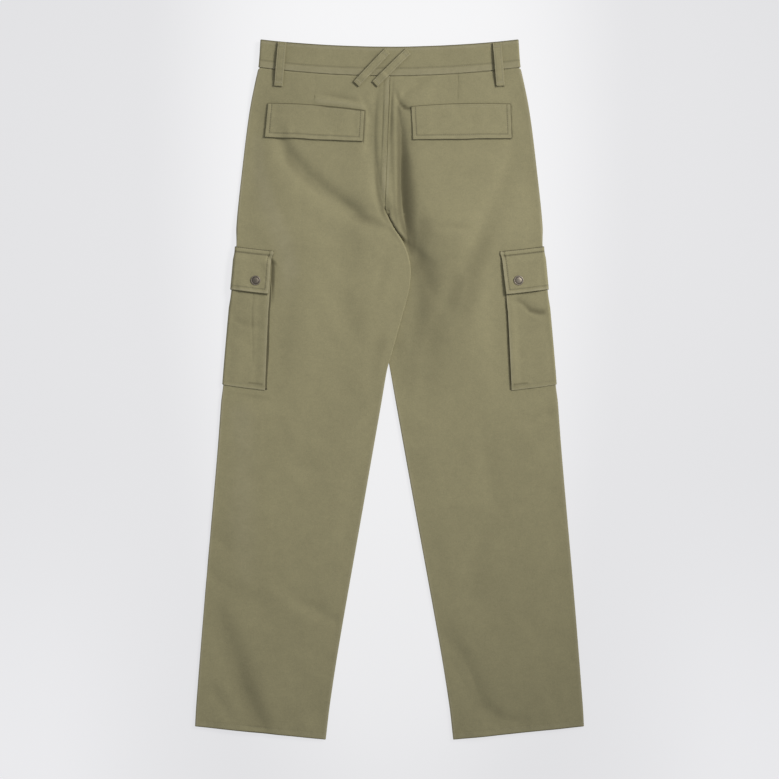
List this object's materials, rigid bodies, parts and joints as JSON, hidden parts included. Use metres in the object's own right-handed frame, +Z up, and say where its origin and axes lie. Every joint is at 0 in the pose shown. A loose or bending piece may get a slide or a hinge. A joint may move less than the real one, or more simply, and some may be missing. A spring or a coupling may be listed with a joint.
{
  "type": "cargo pants",
  "caption": "Olive cotton twill cargo pants laid flat, back side up: straight legs, flapped seat pockets, side cargo pockets with snapped flaps and slanted centre belt loops.",
  "frame": {"origin": "on the surface that the pants lie on, under the middle of their outline", "axes": "+Y from the hems towards the waist, +Z up out of the surface and out of the back of the pants, +X towards the wearer's right"},
  "size_m": [0.5842, 1.0498, 0.0144],
  "materials": {
    "twill": "matt olive cotton twill with a fine diagonal rib and thread of the same colour",
    "snap_metal": "antique bronze, satin, worn bright at the rim",
    "zip_tape": "matt woven tape",
    "button": "satin, horn-like"
  },
  "bodies": {
    "root": {"back_panel_left": "twill", "back_panel_right": "twill", "front_panel_left": "twill", "front_panel_right": "twill", "waistband": "twill", "belt_loop_back_left": "twill", "belt_loop_back_right": "twill", "belt_loop_slant_left": "twill", "belt_loop_slant_right": "twill", "belt_loop_front_left": "twill", "belt_loop_front_right": "twill", "seat_flap_left": "twill", "seat_flap_right": "twill", "cargo_pocket_left": "twill", "cargo_pocket_right": "twill", "cargo_gusset_left": "twill", "cargo_gusset_right": "twill", "cargo_flap_left": "twill", "cargo_flap_right": "twill", "cargo_snap_left": "snap_metal", "cargo_snap_right": "snap_metal", "cargo_snap_front_left": "snap_metal", "cargo_snap_front_right": "snap_metal", "fly_zip": "zip_tape", "waist_button": "button"}
  },
  "joints": []
}
